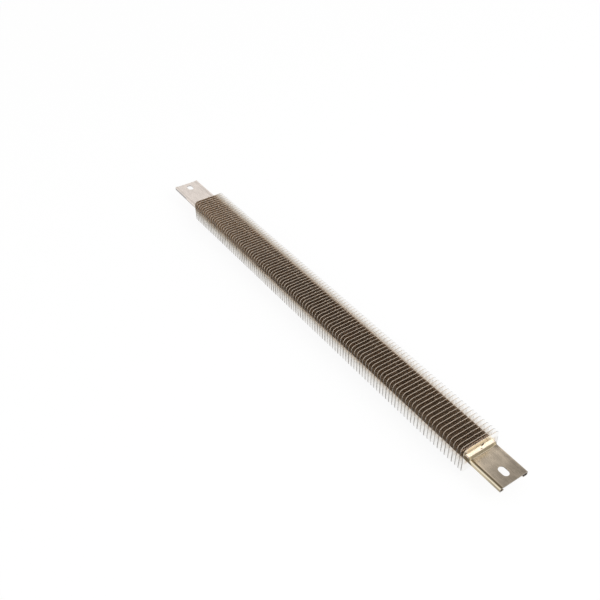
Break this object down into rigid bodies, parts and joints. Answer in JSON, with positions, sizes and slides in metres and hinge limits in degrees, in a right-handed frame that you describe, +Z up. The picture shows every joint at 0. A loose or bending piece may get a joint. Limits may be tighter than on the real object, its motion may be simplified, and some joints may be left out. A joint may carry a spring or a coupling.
{
  "type": "finned strip heater",
  "caption": "Long flat strip heating element with closely spaced thin plate fins across it and a slotted, folded mounting tab at each end.",
  "frame": {"origin": "middle of the overall length and width, at the level of the fins' lower edges", "axes": "+X along the strip from the terminal end to the plain end, +Z up, away from the terminals"},
  "size_m": [0.6984, 0.049, 0.0355],
  "materials": {
    "sheath_steel": "bright drawn stainless steel, straw tinted by heat beside the fins",
    "fin_steel": "smooth, nearly mirror bright thin steel sheet",
    "plate_steel": "plain mill finish steel",
    "mica_sheet": "smooth pressed mica board",
    "packed_insulation": "matt pressed refractory board",
    "resistance_alloy": "oxidised nickel chrome ribbon",
    "nickel_strap": "plain nickel strip",
    "terminal_steel": "plated steel",
    "white_ceramic": "unglazed fired ceramic"
  },
  "bodies": {
    "root": {"sheath": "sheath_steel", "fins": "fin_steel", "backing_plate": "plate_steel", "lower_mica_sheet": "mica_sheet", "element_ribbon": "resistance_alloy", "element_card": "mica_sheet", "upper_mica_sheet": "mica_sheet", "packed_insulation": "packed_insulation", "cold_end_sheet": "mica_sheet", "lead_strap_left": "nickel_strap", "terminal_stud_left": "terminal_steel", "terminal_bush_left": "white_ceramic", "bush_washer_left": "terminal_steel", "fixing_nut_left": "terminal_steel", "wire_washer_left": "terminal_steel", "wire_nut_left": "terminal_steel", "lead_strap_right": "nickel_strap", "terminal_stud_right": "terminal_steel", "terminal_bush_right": "white_ceramic", "bush_washer_right": "terminal_steel", "fixing_nut_right": "terminal_steel", "wire_washer_right": "terminal_steel", "wire_nut_right": "terminal_steel"}
  },
  "joints": []
}
